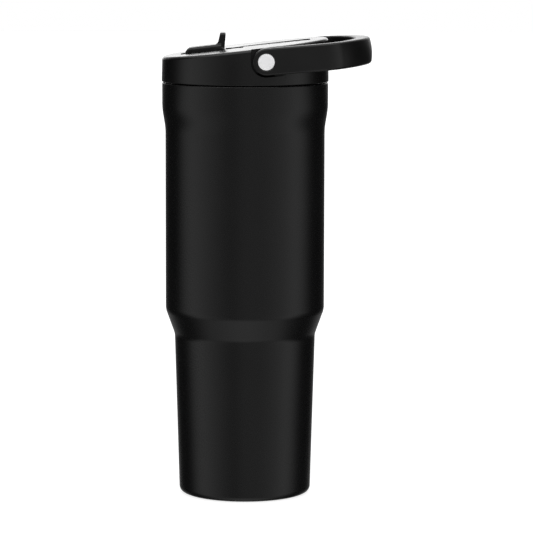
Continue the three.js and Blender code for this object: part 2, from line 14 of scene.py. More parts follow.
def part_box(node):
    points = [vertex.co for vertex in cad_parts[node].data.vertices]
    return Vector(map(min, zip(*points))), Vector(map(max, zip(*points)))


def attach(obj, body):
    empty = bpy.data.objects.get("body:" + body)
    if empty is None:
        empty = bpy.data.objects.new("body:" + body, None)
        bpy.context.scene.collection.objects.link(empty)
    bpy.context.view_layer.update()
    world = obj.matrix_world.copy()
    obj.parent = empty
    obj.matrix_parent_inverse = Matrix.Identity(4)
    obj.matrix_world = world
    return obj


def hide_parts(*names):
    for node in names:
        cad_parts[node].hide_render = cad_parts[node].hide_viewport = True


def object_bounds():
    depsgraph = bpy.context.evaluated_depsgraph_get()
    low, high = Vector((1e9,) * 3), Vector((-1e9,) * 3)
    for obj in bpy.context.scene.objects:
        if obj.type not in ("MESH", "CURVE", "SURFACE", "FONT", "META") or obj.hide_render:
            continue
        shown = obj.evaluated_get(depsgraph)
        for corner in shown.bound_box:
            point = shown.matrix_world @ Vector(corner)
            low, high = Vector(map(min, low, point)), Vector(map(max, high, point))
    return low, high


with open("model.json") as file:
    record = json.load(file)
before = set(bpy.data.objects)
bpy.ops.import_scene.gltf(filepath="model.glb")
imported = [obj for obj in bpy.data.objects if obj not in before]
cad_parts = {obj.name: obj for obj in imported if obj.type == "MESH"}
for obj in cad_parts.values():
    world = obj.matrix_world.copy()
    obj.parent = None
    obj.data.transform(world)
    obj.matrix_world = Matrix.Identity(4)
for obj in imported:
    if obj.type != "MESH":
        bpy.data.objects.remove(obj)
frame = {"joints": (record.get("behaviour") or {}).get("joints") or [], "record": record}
cad_low, cad_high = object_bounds()

MM = 0.001
JOINTS = {joint["name"]: joint for joint in frame["joints"]}


def box_mm(node):
    """The low and high corners of a CAD node's box, in millimetres."""
    low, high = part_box(node)
    return Vector(low) / MM, Vector(high) / MM


# ---- Sizes, read from the frame or named here in millimetres ----

shell_high = box_mm("outer_shell")[1]
lid_low, lid_high = box_mm("lid_cover")
plug_low, plug_high = box_mm("lid_plug")
straw_low, straw_high = box_mm("straw")
cap_low, cap_high = box_mm("pivot_cap_left")
base_high = box_mm("base_cap")[1]
connector_low, connector_high = box_mm("straw_connector")

PIVOT = Vector(JOINTS["handle_swing"]["pos_m"]) / MM
HINGE = Vector(JOINTS["spout_flip"]["pos_m"]) / MM

COLLAR_RADIUS = shell_high.x + 0.15
RIM_HEIGHT = shell_high.z
UPPER_RADIUS = 43.05
LOWER_RADIUS = 38.12
FOOT_RADIUS = 35.75
FOOT_ROUND = 3.6
SHOULDER_BOTTOM = 87.0
SHOULDER_TOP = 100.5
COLLAR_BOTTOM = 196
COLLAR_TOP = 214
RIM_WIDTH = 2.2
WALL = 0.7
VACUUM_GAP = 1.95
LINER_FLOOR = 8
NECK_RADIUS = UPPER_RADIUS - 2 * WALL - VACUUM_GAP
PLUG_RADIUS = 37.6
THREAD_PITCH = 5.0
THREAD_TURNS = 1.1
THREAD_WIRE = 0.9

LID_RADIUS = lid_high.x
LID_BOTTOM = lid_low.z
LID_TOP_RADIUS = LID_RADIUS - 0.25
LID_FRONT = 237.7
TOP_SLOPE = 0.1155
TOP_TILT = math.atan(TOP_SLOPE)
EDGE_ROUND = 1.8
LID_WALL = 2.3
SKIRT_DROP = 0.35
LEVEL_SKIRT = 5
WELL_BLOCK_DEPTH = 9.4
WELL_DEPTH = 5.8
HEEL_SHELF_DEPTH = 3.85
TAB_RECESS_DEPTH = 6.9
PORT_X = (straw_low.x + straw_high.x) / 2
PORT_SEAL_TOP = 234.7
VENT_X = -28
TROUGH_END = 35
TROUGH_HALF_WIDTH = 10
TROUGH_DEPTH = 0.27
TROUGH_DEEPENS_BY = 0.25

HANDLE_TILT = math.radians(4.8)
HUB_RADIUS = 7.15
BAND_OUTER_Y = 46.199
BAND_INNER_Y = 40.6
CORNER_X = 29.8
CORNER_RADIUS = 15
NOSE_X = 57.4
NOSE_THICKNESS = 8.5
POCKET_FACE_Y = 39.6
POCKET_CLEARANCE = 0.85
SOFT_EDGE = 0.45
CAP_RADIUS = (cap_high.x - cap_low.x) / 2
GAP = 0.3

BARREL_RADIUS = 4.2
SPOUT_HALF_WIDTH = 7.6
MOUTHPIECE_LENGTH = 18.9
MOUTHPIECE_TOP = 5.8
MOUTHPIECE_BOTTOM = -1.8
TAB_TOP = 11.95
TAB_HALF_WIDTH = 6
SPOUT_PIN_HOLE = 1.2
FLIP_ANGLE = 83.4
SPOUT_VOXEL = 0.2


def lid_top(x):
    return LID_FRONT + TOP_SLOPE * (x + LID_RADIUS)


# ---- Curves in a plane ----

def arc(centre, radius, start, end, steps):
    """Points on an arc, angles in degrees, both ends included."""
    points = []
    for i in range(steps + 1):
        angle = math.radians(start + (end - start) * i / steps)
        points.append((centre[0] + radius * math.cos(angle), centre[1] + radius * math.sin(angle)))
    return points


def bend(*control, steps=10):
    """Points on a Bezier curve with any number of control points, both ends included."""
    points = []
    for i in range(steps + 1):
        level = [Vector(p) for p in control]
        t = i / steps
        while len(level) > 1:
            level = [a.lerp(b, t) for a, b in zip(level, level[1:])]
        points.append(tuple(level[0]))
    return points


def rounded_corner(before, corner, after, radius, steps=5):
    """Replaces a profile's corner with a small curve between its two neighbours."""
    corner, before, after = Vector(corner), Vector(before), Vector(after)
    first = corner + (before - corner).normalized() * radius
    last = corner + (after - corner).normalized() * radius
    return bend(first, corner, last, steps=steps)


def soften(profile, radius):
    """Rounds every corner of an open profile but its two ends."""
    result = [profile[0]]
    for before, corner, after in zip(profile, profile[1:], profile[2:]):
        room = min((Vector(corner) - Vector(p)).length for p in (before, after)) * 0.45
        result += rounded_corner(before, corner, after, min(radius, room), steps=4)
    return result + [profile[-1]]


# ---- Mesh helpers ----

def new_object(name, vertices, faces, sharp_angle=35):
    mesh = bpy.data.meshes.new(name)
    mesh.from_pydata([Vector(v) * MM for v in vertices], [], faces)
    work = bmesh.new()
    work.from_mesh(mesh)
    bmesh.ops.recalc_face_normals(work, faces=work.faces)
    work.to_mesh(mesh)
    work.free()
    obj = bpy.data.objects.new(name, mesh)
    bpy.context.scene.collection.objects.link(obj)
    shade(obj, sharp_angle)
    return obj


def shade(obj, sharp_angle=35):
    obj.data.shade_smooth()
    obj.data.set_sharp_from_angle(angle=math.radians(sharp_angle))


def even_shading(obj, sharp_angle=35):
    """Lets large flat faces keep their own normal where they run into small round ones."""
    shade(obj, sharp_angle)
    modifier = obj.modifiers.new("even_shading", "WEIGHTED_NORMAL")
    modifier.keep_sharp = True
    modifier.weight = 100
    evaluated(obj)


def lathe(name, profile, segments=128, place=None):
    """Turns a profile of (radius, height) about the vertical axis.

    The profile ends on the axis or closes on itself.
    """
    closed = (Vector(profile[0]) - Vector(profile[-1])).length < 1e-6
    points = profile[:-1] if closed else profile
    vertices, rings, faces = [], [], []
    for radius, height in points:
        if radius < 1e-6:
            rings.append([len(vertices)])
            vertices.append(Vector((0, 0, height)))
            continue
        rings.append(list(range(len(vertices), len(vertices) + segments)))
        for i in range(segments):
            angle = 2 * math.pi * i / segments
            vertices.append(Vector((radius * math.cos(angle), radius * math.sin(angle), height)))
    pairs = list(zip(rings, rings[1:]))
    if closed:
        pairs.append((rings[-1], rings[0]))
    for lower, upper in pairs:
        for i in range(segments):
            j = (i + 1) % segments
            corners = [
                lower[i % len(lower)], lower[j % len(lower)],
                upper[j % len(upper)], upper[i % len(upper)],
            ]
            faces.append(list(dict.fromkeys(corners)))
    if place:
        vertices = [place @ v for v in vertices]
    return new_object(name, vertices, faces)


def loft(name, rings, sharp_angle=35):
    """Skins a row of rings with equal numbers of points and closes both ends."""
    count = len(rings[0])
    vertices = [point for ring in rings for point in ring]
    faces = [list(range(count)), list(range(len(vertices) - count, len(vertices)))]
    for k in range(len(rings) - 1):
        for i in range(count):
            j = (i + 1) % count
            faces.append([k * count + i, k * count + j, (k + 1) * count + j, (k + 1) * count + i])
    return new_object(name, vertices, faces, sharp_angle)


def prism(name, outline, from_y, to_y):
    """Spreads an outline of (x, z) points along Y."""
    return loft(name, [[(x, y, z) for x, z in outline] for y in (from_y, to_y)])


def evaluated(obj):
    """Applies an object's modifiers."""
    graph = bpy.context.evaluated_depsgraph_get()
    mesh = bpy.data.meshes.new_from_object(obj.evaluated_get(graph))
    obj.modifiers.clear()
    old = obj.data
    obj.data = mesh
    bpy.data.meshes.remove(old)


def boolean(target, tool, operation="DIFFERENCE"):
    modifier = target.modifiers.new(operation.lower(), "BOOLEAN")
    modifier.operation = operation
    modifier.solver = "EXACT"
    modifier.object = tool
    evaluated(target)
    bpy.data.objects.remove(tool)
    return target


def clean(obj):
    """Merges the sliver points that a boolean leaves, and dissolves faces with no area."""
    sliver = 0.01 * MM
    work = bmesh.new()
    work.from_mesh(obj.data)
    bmesh.ops.remove_doubles(work, verts=work.verts, dist=sliver)
    bmesh.ops.dissolve_degenerate(work, edges=work.edges, dist=sliver)
    work.to_mesh(obj.data)
    work.free()


def across(side):
    """Turns a piece made about the vertical axis so that its height points out along Y on one side."""
    return Matrix.Rotation(-side * math.pi / 2, 4, "X")


BODY_OF = {node: body for body, nodes in frame["record"]["behaviour"]["bodies"].items() for node in nodes}


def finish_piece(obj, node, material):
    """Hands a fine piece to the frame in place of its CAD node."""
    obj.data.materials.clear()
    obj.data.materials.append(material)
    for polygon in obj.data.polygons:
        polygon.material_index = 0
    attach(obj, BODY_OF[node])
    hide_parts(node)


# ---- Materials ----

def math_node(tree, operation, first, second=None):
    """Adds a math node. Each input is a number or another node's output."""
    node = tree.nodes.new("ShaderNodeMath")
    node.operation = operation
    for socket, value in zip(node.inputs, (first, second)):
        if isinstance(value, (int, float)):
            socket.default_value = value
        elif value is not None:
            tree.links.new(value, socket)
    return node.outputs["Value"]


class Surface:
    """A Principled material with a few helpers for its procedural detail."""

    def __init__(self, name, color, roughness, metallic=0.0, specular=0.5):
        self.material = bpy.data.materials.new(name)
        self.material.use_nodes = True
        self.nodes = self.material.node_tree.nodes
        self.links = self.material.node_tree.links
        self.shader = self.nodes["Principled BSDF"]
        self.shader.inputs["Base Color"].default_value = (*color, 1)
        self.shader.inputs["Roughness"].default_value = roughness
        self.shader.inputs["Metallic"].default_value = metallic
        self.shader.inputs["Specular IOR Level"].default_value = specular
        self.coordinates = self.nodes.new("ShaderNodeTexCoord").outputs["Object"]
        self.height = None

    def noise(self, scale, detail=2.0, roughness=0.5, stretch=None, vector=None):
        texture = self.nodes.new("ShaderNodeTexNoise")
        texture.inputs["Scale"].default_value = scale
        texture.inputs["Detail"].default_value = detail
        texture.inputs["Roughness"].default_value = roughness
        source = vector or self.coordinates
        if stretch:
            mapping = self.nodes.new("ShaderNodeMapping")
            mapping.inputs["Scale"].default_value = stretch
            self.links.new(source, mapping.inputs["Vector"])
            source = mapping.outputs["Vector"]
        self.links.new(source, texture.inputs["Vector"])
        return texture.outputs["Fac"]

    def scaled(self, value, low, high, from_low=0.25, from_high=0.75):
        node = self.nodes.new("ShaderNodeMapRange")
        node.inputs["From Min"].default_value = from_low
        node.inputs["From Max"].default_value = from_high
        node.inputs["To Min"].default_value = low
        node.inputs["To Max"].default_value = high
        self.links.new(value, node.inputs["Value"])
        return node.outputs["Result"]

    def vary_roughness(self, value, low, high):
        self.links.new(self.scaled(value, low, high), self.shader.inputs["Roughness"])

    def vary_color(self, value, first, second):
        mix = self.nodes.new("ShaderNodeMix")
        mix.data_type = "RGBA"
        mix.inputs["A"].default_value = (*first, 1)
        mix.inputs["B"].default_value = (*second, 1)
        self.links.new(self.scaled(value, 0, 1), mix.inputs["Factor"])
        self.links.new(mix.outputs["Result"], self.shader.inputs["Base Color"])

    def bump(self, value, depth):
        """Adds relief of a depth in millimetres on top of what is already there."""
        node = self.nodes.new("ShaderNodeBump")
        node.inputs["Distance"].default_value = depth * MM
        node.inputs["Strength"].default_value = 1.0
        self.links.new(value, node.inputs["Height"])
        if self.height:
            self.links.new(self.height, node.inputs["Normal"])
        self.height = node.outputs["Normal"]
        self.links.new(self.height, self.shader.inputs["Normal"])

    def polar(self, centre, axis):
        """Coordinates (radius, turn, height) about an axis through a point, for turned metal."""
        offset = self.nodes.new("ShaderNodeVectorMath")
        offset.operation = "SUBTRACT"
        offset.inputs[1].default_value = centre
        self.links.new(self.coordinates, offset.inputs[0])
        parts = self.nodes.new("ShaderNodeSeparateXYZ")
        self.links.new(offset.outputs["Vector"], parts.inputs["Vector"])
        first, second = (parts.outputs[i] for i in range(3) if i != axis)
        tree = self.material.node_tree
        squares = [math_node(tree, "MULTIPLY", part, part) for part in (first, second)]
        combined = self.nodes.new("ShaderNodeCombineXYZ")
        self.links.new(math_node(tree, "SQRT", math_node(tree, "ADD", *squares)), combined.inputs["X"])
        self.links.new(math_node(tree, "ARCTAN2", second, first), combined.inputs["Y"])
        self.links.new(parts.outputs[axis], combined.inputs["Z"])
        return combined.outputs["Vector"]


def powder_coat():
    surface = Surface("powder_coat", (0.003, 0.003, 0.0031), 0.30)
    cloud = surface.noise(35, detail=3)
    grain = surface.noise(1500, detail=2, roughness=0.6)
    pebble = surface.noise(620, detail=1)
    surface.vary_color(cloud, (0.0025, 0.0025, 0.0026), (0.0035, 0.0035, 0.0036))
    surface.vary_roughness(grain, 0.25, 0.31)
    surface.bump(pebble, 0.005)
    surface.bump(grain, 0.004)
    return surface.material


def moulded_plastic(name, roughness):
    base = 0.003
    surface = Surface(name, (base,) * 3, roughness)
    cloud = surface.noise(60, detail=2)
    grain = surface.noise(1900, detail=2, roughness=0.6)
    surface.vary_color(cloud, (base * 0.85,) * 3, (base * 1.2,) * 3)
    surface.vary_roughness(cloud, roughness - 0.03, roughness + 0.03)
    surface.bump(grain, 0.003)
    return surface.material


def silicone():
    surface = Surface("silicone", (0.018, 0.018, 0.019), 0.62, specular=0.4)
    dust = surface.noise(900, detail=3, roughness=0.7)
    surface.vary_color(dust, (0.015, 0.015, 0.016), (0.026, 0.026, 0.027))
    surface.vary_roughness(dust, 0.55, 0.7)
    surface.bump(dust, 0.008)
    return surface.material


def turned_lines(surface, centre, axis):
    """Fine lines that run round an axis."""
    around = surface.polar(centre, axis)
    return surface.noise(2600, detail=2, roughness=0.6, stretch=(1, 0.0004, 1), vector=around)


def spun_steel(name, centre, axis, color, roughness):
    surface = Surface(name, color, roughness, metallic=1.0)
    lines = turned_lines(surface, centre, axis)
    tone = surface.noise(90, detail=2)
    darker = tuple(c * 0.86 for c in color)
    surface.vary_color(tone, darker, color)
    surface.vary_roughness(lines, roughness - 0.06, roughness + 0.08)
    surface.bump(lines, 0.003)
    return surface.material


def satin_metal(centre):
    """Bright plated metal with fine turned rings and a milky, half-diffuse sheen."""
    surface = Surface("satin_metal", (0.92, 0.92, 0.93), 0.45, metallic=0.12)
    rings = turned_lines(surface, centre, 1)
    surface.vary_color(rings, (0.88, 0.88, 0.89), (0.95, 0.95, 0.96))
    surface.vary_roughness(rings, 0.42, 0.55)
    surface.bump(rings, 0.0015)
    return surface.material


def straw_plastic():
    surface = Surface("straw_plastic", (0.022, 0.022, 0.024), 0.28)
    draw_lines = surface.noise(700, detail=2, stretch=(1, 1, 0.02))
    surface.vary_color(draw_lines, (0.018, 0.018, 0.02), (0.028, 0.028, 0.03))
    surface.vary_roughness(draw_lines, 0.24, 0.34)
    surface.bump(draw_lines, 0.004)
    return surface.material


def acetal():
    surface = Surface("bushing_plastic", (0.6, 0.6, 0.57), 0.4)
    tone = surface.noise(400, detail=3)
    surface.vary_color(tone, (0.55, 0.55, 0.52), (0.64, 0.64, 0.61))
    surface.vary_roughness(tone, 0.35, 0.48)
    surface.bump(tone, 0.004)
    return surface.material


def dull_metal():
    surface = Surface("getter", (0.35, 0.35, 0.36), 0.55, metallic=1.0)
    grain = surface.noise(1200, detail=4, roughness=0.7)
    surface.vary_color(grain, (0.28, 0.28, 0.29), (0.42, 0.42, 0.43))
    surface.vary_roughness(grain, 0.45, 0.65)
    surface.bump(grain, 0.02)
    return surface.material


MUG_AXIS = (0, 0, 0)
pivot_metres = tuple(PIVOT * MM)
COAT = powder_coat()
LID_PLASTIC = moulded_plastic("lid_plastic", 0.28)
HANDLE_PLASTIC = moulded_plastic("handle_plastic", 0.36)
SPOUT_PLASTIC = moulded_plastic("spout_plastic", 0.30)
SILICONE = silicone()
LINER_STEEL = spun_steel("liner_steel", MUG_AXIS, 2, (0.60, 0.60, 0.59), 0.30)
PIN_STEEL = spun_steel("pin_steel", pivot_metres, 1, (0.62, 0.62, 0.61), 0.28)
CAP_METAL = satin_metal(pivot_metres)
STRAW_PLASTIC = straw_plastic()
ACETAL = acetal()
DULL_METAL = dull_metal()


# ---- Tumbler ----

def body_outline():
    """The outside of the tumbler from the foot to the rim."""
    foot = bend((FOOT_RADIUS - FOOT_ROUND, 0), (FOOT_RADIUS, 0), (FOOT_RADIUS, FOOT_ROUND), steps=8)
    crease = bend(
        (LOWER_RADIUS, SHOULDER_BOTTOM - 1.6), (LOWER_RADIUS, SHOULDER_BOTTOM),
        (LOWER_RADIUS + 0.58, SHOULDER_BOTTOM + 1.6), steps=8,
    )
    shoulder = bend(
        (UPPER_RADIUS - 0.7, SHOULDER_TOP - 1.8), (UPPER_RADIUS, SHOULDER_TOP),
        (UPPER_RADIUS, SHOULDER_TOP + 1.9), steps=8,
    )
    swell = bend(
        (UPPER_RADIUS, COLLAR_BOTTOM), (UPPER_RADIUS, 203),
        (COLLAR_RADIUS, 206), (COLLAR_RADIUS, COLLAR_TOP - 1), steps=16,
    )
    rim = bend(
        (COLLAR_RADIUS, RIM_HEIGHT - 0.55), (COLLAR_RADIUS, RIM_HEIGHT),
        (COLLAR_RADIUS - 0.55, RIM_HEIGHT), steps=6,
    )
    return foot + crease + shoulder + swell + rim


def make_outer_shell():
    lip = COLLAR_RADIUS - RIM_WIDTH
    foot_inner = base_high.x + GAP
    floor = 2.4
    inside = [
        (lip, RIM_HEIGHT), (lip, RIM_HEIGHT - WALL), (COLLAR_RADIUS - WALL - 0.4, RIM_HEIGHT - WALL - 0.4),
        (COLLAR_RADIUS - WALL, RIM_HEIGHT - 3), (COLLAR_RADIUS - WALL, COLLAR_TOP),
        ((COLLAR_RADIUS + UPPER_RADIUS) / 2 - WALL, 205), (UPPER_RADIUS - WALL, COLLAR_BOTTOM),
        (UPPER_RADIUS - WALL, SHOULDER_TOP + 1), (LOWER_RADIUS - WALL, SHOULDER_BOTTOM),
        (FOOT_RADIUS - WALL, FOOT_ROUND + 1), (FOOT_RADIUS - 2, floor + WALL), (1.6, floor + WALL),
    ]
    underside = [(1.6, floor), (foot_inner, floor), (foot_inner, 0.4), (foot_inner + 0.4, 0)]
    profile = body_outline() + inside + underside
    shell = lathe("mug_body", profile + [profile[0]], segments=192)
    finish_piece(shell, "outer_shell", COAT)


def thread_ring(name, radius, bottom):
    """A thread's round ridge that fades out at both ends."""
    rings = []
    steps = int(72 * THREAD_TURNS)
    for i in range(steps + 1):
        t = i / steps
        angle = 2 * math.pi * THREAD_TURNS * t
        fade = min(1, t * 14, (1 - t) * 14)
        size = THREAD_WIRE * (0.15 + 0.85 * math.sin(fade * math.pi / 2))
        ring = []
        for k in range(12):
            around = 2 * math.pi * k / 12
            r = radius + size * math.cos(around)
            z = bottom + THREAD_PITCH * THREAD_TURNS * t + size * 1.1 * math.sin(around)
            ring.append((r * math.cos(angle), r * math.sin(angle), z))
        rings.append(ring)
    return loft(name, rings)


def make_inner_liner():
    step_in = WALL + VACUUM_GAP
    lower = LOWER_RADIUS - step_in
    floor_radius = FOOT_RADIUS - step_in + 0.4
    flange = COLLAR_RADIUS - RIM_WIDTH - GAP
    neck = NECK_RADIUS + WALL
    corner = 7

    def cup(inset, floor):
        """The cup's wall from the floor up, drawn on its outside or inset to its inside."""
        return [
            *bend((floor_radius - inset - corner, floor), (floor_radius - inset, floor),
                  (floor_radius - inset, floor + corner), steps=10),
            *bend((lower - inset, SHOULDER_BOTTOM - 4), (lower - inset, SHOULDER_BOTTOM - 1),
                  (lower - inset + 0.9, SHOULDER_BOTTOM + 1.5), steps=5),
            *bend((neck - inset - 0.9, SHOULDER_TOP - 2), (neck - inset, SHOULDER_TOP + 1),
                  (neck - inset, SHOULDER_TOP + 4), steps=5),
        ]

    outside = [(0, LINER_FLOOR - WALL)] + cup(0, LINER_FLOOR - WALL)
    mouth = 1.2
    rim = [
        (neck, RIM_HEIGHT - WALL), (flange, RIM_HEIGHT - WALL),
        (flange, RIM_HEIGHT - 0.15), (flange - 0.15, RIM_HEIGHT),
        *bend((NECK_RADIUS + mouth, RIM_HEIGHT), (NECK_RADIUS, RIM_HEIGHT),
              (NECK_RADIUS, RIM_HEIGHT - mouth), steps=5),
    ]
    inside = list(reversed(cup(WALL, LINER_FLOOR))) + [(0, LINER_FLOOR)]
    liner = lathe("liner_cup", outside + rim + inside, segments=144)
    boolean(liner, thread_ring("liner_thread", NECK_RADIUS + 0.15, 212), "UNION")
    shade(liner)
    finish_piece(liner, "inner_liner", LINER_STEEL)


def make_base():
    radius = base_high.x
    thickness = base_high.z
    groove = 0.4
    profile = [
        (0, 0), *bend((16.6, 0), (17.2, 0), (17.5, groove), steps=5),
        *bend((24.5, groove), (24.8, 0), (25.4, 0), steps=5),
        *bend((radius - 0.4, 0), (radius, 0), (radius, 0.4), steps=4),
        (radius, thickness), (0, thickness),
    ]
    cap = lathe("foot_plate", profile, segments=128)
    finish_piece(cap, "base_cap", COAT)
    bead = lathe("exhaust_bead", [
        (0, 1.2), *bend((1.6, 1.2), (3, 1.3), (2.9, 1.8), (2.2, 2.1), steps=8),
        (1.3, 2.1), (1.2, 3.2), (0, 3.2),
    ], segments=48)
    finish_piece(bead, "vacuum_seal", DULL_METAL)
    low, high = 4.6, 6.9
    side = soften([(4.4, low), (5, low), (5, high), (4.4, high)], 0.5)
    pellet = lathe("gas_pellet", [(0, low), *side, (0, high)], segments=48)
    finish_piece(pellet, "getter_pellet", DULL_METAL)


# ---- Lid ----

def slope_top(obj):
    """Raises the top of a lid piece with x, so that it slopes while its lower edge stays level."""
    start = (LID_BOTTOM + LEVEL_SKIRT) * MM
    for vertex in obj.data.vertices:
        if vertex.co.z > start:
            vertex.co.z += TOP_SLOPE * (vertex.co.x + LID_RADIUS * MM)


def merge_fans(obj):
    """Turns the triangles round the axis into one flat face at each end."""
    work = bmesh.new()
    work.from_mesh(obj.data)
    hubs = [v for v in work.verts if math.hypot(v.co.x, v.co.y) < 1e-7]
    bmesh.ops.dissolve_verts(work, verts=hubs)
    work.to_mesh(obj.data)
    work.free()


def lid_blank():
    top = LID_FRONT
    skirt = LID_BOTTOM - SKIRT_DROP
    profile = [
        (0, skirt),
        *bend((LID_RADIUS - 0.4, skirt), (LID_RADIUS, skirt), (LID_RADIUS, skirt + 0.4), steps=4),
        *arc((LID_TOP_RADIUS - EDGE_ROUND, top - EDGE_ROUND), EDGE_ROUND, 0, 90, 8),
        (0, top),
    ]
    blank = lathe("lid_shell", profile, segments=192)
    slope_top(blank)
    merge_fans(blank)
    return blank


def lid_hollow():
    profile = [
        (0, LID_BOTTOM - 1), (LID_RADIUS - LID_WALL, LID_BOTTOM - 1),
        (LID_TOP_RADIUS - LID_WALL, LID_FRONT - LID_WALL), (0, LID_FRONT - LID_WALL),
    ]
    hollow = lathe("hollow", profile, segments=97)
    slope_top(hollow)
    merge_fans(hollow)
    return hollow


def block_under_top(name, from_x, to_x, shallow, deep, half_width):
    """A block between two depths under the lid's sloping top."""
    outline = [
        (from_x, lid_top(from_x) - deep), (to_x, lid_top(to_x) - deep),
        (to_x, lid_top(to_x) - shallow), (from_x, lid_top(from_x) - shallow),
    ]
    return prism(name, outline, -half_width, half_width)


def rounded_rectangle(x0, x1, half_width, radius, grow):
    """A plan outline with round corners, grown or shrunk evenly."""
    x0, x1, half_width = x0 - grow, x1 + grow, half_width + grow
    radius = max(radius + grow, 0.05)
    steps = 6
    return (
        arc((x1 - radius, half_width - radius), radius, 0, 90, steps)
        + arc((x0 + radius, half_width - radius), radius, 90, 180, steps)
        + arc((x0 + radius, radius - half_width), radius, 180, 270, steps)
        + arc((x1 - radius, radius - half_width), radius, 270, 360, steps)
    )


def recess_tool(name, x0, x1, half_width, corner, depth, mouth=SOFT_EDGE, floor_round=0.8):
    """A tool that sinks a recess into the lid's top with a rounded mouth and floor.

    depth gives the depth at each x.
    """
    levels = [(mouth * 1.4, -4, False), (mouth, -0.02, False)]
    for i in range(1, 5):
        angle = math.radians(90 * i / 4)
        levels.append((mouth * (1 - math.sin(angle)), mouth * (1 - math.cos(angle)), False))
    for i in range(5):
        angle = math.radians(90 * i / 4)
        levels.append((-floor_round * (1 - math.cos(angle)), floor_round * (1 - math.sin(angle)), True))
    rings = []
    for grow, drop, from_floor in levels:
        ring = []
        for x, y in rounded_rectangle(x0, x1, half_width, corner, grow):
            below = depth(x) - drop if from_floor else drop
            ring.append((x, y, lid_top(x) - below))
        rings.append(ring)
    return loft(name, rings)


def pocket_outline(grow):
    """The side view of the notch that the handle's hub turns in."""
    radius = HUB_RADIUS + POCKET_CLEARANCE + grow
    tilt = math.degrees(HANDLE_TILT)
    reach = 45
    lower = arc((PIVOT.x, PIVOT.z), radius, 180, 270 + tilt, 24)
    end = lower[-1]
    ledge = [
        (end[0] + s * math.cos(HANDLE_TILT), end[1] + s * math.sin(HANDLE_TILT))
        for s in (2, 4, 6, 8, 10, 14, reach)
    ]
    wall = [(PIVOT.x - radius, PIVOT.z + z) for z in (40, 12, 9, 6, 3)]
    return wall + lower + ledge + [(PIVOT.x + reach, PIVOT.z + 40)]


def pocket_tool(side):
    """Cuts the notch with an edge that is rounded where it meets the lid's curved side."""
    clear_y = side * (LID_RADIUS + 15)
    wide = 1.4 * SOFT_EDGE
    rings = [[(x, clear_y, z) for x, z in pocket_outline(wide)]]
    levels = [(wide, -0.6)]
    for degrees in (0, 22, 45, 68, 90):
        angle = math.radians(degrees)
        levels.append((SOFT_EDGE * (1 - math.sin(angle)), SOFT_EDGE * (1 - math.cos(angle))))
    for index, (grow, drop) in enumerate(levels):
        ring = []
        for x, z in pocket_outline(grow):
            surface = math.sqrt(max(LID_RADIUS ** 2 - x * x, 0))
            floor = POCKET_FACE_Y + 0.02 * (len(levels) - index)
            ring.append((x, side * max(surface - drop, floor), z))
        rings.append(ring)
    rings.append([(x, side * POCKET_FACE_Y, z) for x, z in pocket_outline(0)])
    return loft("pocket", rings)


def cross_bar(name, x, z, radius, from_y, to_y, segments=48):
    """A round bar along Y."""
    low, high = sorted((from_y, to_y))
    place = Matrix.Translation((x, 0, z)) @ across(1)
    return lathe(name, [(0, low), (radius, low), (radius, high), (0, high)], segments, place)


def upright_bar(name, x, radius, low, high, segments=48):
    place = Matrix.Translation((x, 0, 0))
    return lathe(name, [(0, low), (radius, low), (radius, high), (0, high)], segments, place)


def lid_room():
    """The hollow inside the lid, less the blocks that carry the spout and the handle's pivots."""
    room = lid_hollow()
    boolean(room, block_under_top("support", -37.6, 1.8, 1, WELL_BLOCK_DEPTH, SPOUT_HALF_WIDTH + 5))
    start, end = 0.6, 24.6
    low = plug_high.z + 0.4
    outline = [(start, low), (end, low), (end, lid_top(end)), (start, lid_top(start))]
    for side in (-1, 1):
        boolean(room, prism("backing", outline, side * (POCKET_FACE_Y - 3), side * (POCKET_FACE_Y + 4)))
        boolean(room, cross_bar("boss", PIVOT.x, PIVOT.z, 5.6, side * 30.4, side * 38))
    return room


def top_recesses():
    """The spout's well with its seat and heel shelf, the recess for the tab, and the finger trough."""
    half = SPOUT_HALF_WIDTH + 2 * GAP
    front = HINGE.x - MOUTHPIECE_LENGTH - 2
    heel_end = HINGE.x + MOUTHPIECE_TOP + 0.65
    tab_end = HINGE.x + TAB_TOP + 0.6
    slope = TROUGH_DEEPENS_BY / (TROUGH_END - tab_end)
    well = recess_tool("well", front, HINGE.x + 2.4, half, 2.2, lambda x: WELL_DEPTH)
    seat = cross_bar("seat", HINGE.x, HINGE.z, BARREL_RADIUS + 0.35, -half, half, 64)
    tab_recess = recess_tool(
        "tab_recess", HINGE.x, tab_end, TAB_HALF_WIDTH + GAP, 1.6, lambda x: TAB_RECESS_DEPTH,
    )
    trough = recess_tool(
        "trough", tab_end - 2.5, TROUGH_END, TROUGH_HALF_WIDTH, 4.5,
        lambda x: TROUGH_DEPTH + slope * (x - tab_end), mouth=0.1, floor_round=0.12,
    )
    shelf = recess_tool(
        "heel_shelf", HINGE.x - 3, heel_end, half - 0.05, 1.75, lambda x: HEEL_SHELF_DEPTH,
    )
    return well, shelf, seat, tab_recess, trough


def make_lid_cover():
    cover = boolean(lid_blank(), lid_room())
    for tool in top_recesses():
        boolean(cover, tool)
    for side in (-1, 1):
        boolean(cover, pocket_tool(side))
        boolean(cover, cross_bar("pin_hole", PIVOT.x, PIVOT.z, 2.8, side * 31.2, side * 42))
    boolean(cover, upright_bar("port_hole", PORT_X, 4.5, 225, 236))
    boolean(cover, upright_bar("vent_hole", VENT_X, 1.35, 225, 236, 24))
    for side in (-1, 1):
        boolean(cover, cross_bar("pin_hole", HINGE.x, HINGE.z, SPOUT_PIN_HOLE, side * 6, side * 12, 24))
    clean(cover)
    even_shading(cover, 40)
    finish_piece(cover, "lid_cover", LID_PLASTIC)


def room_under_well(x, radius):
    """The height that a part of the plug may reach under the spout's block."""
    return lid_top(x - radius) - WELL_BLOCK_DEPTH - GAP


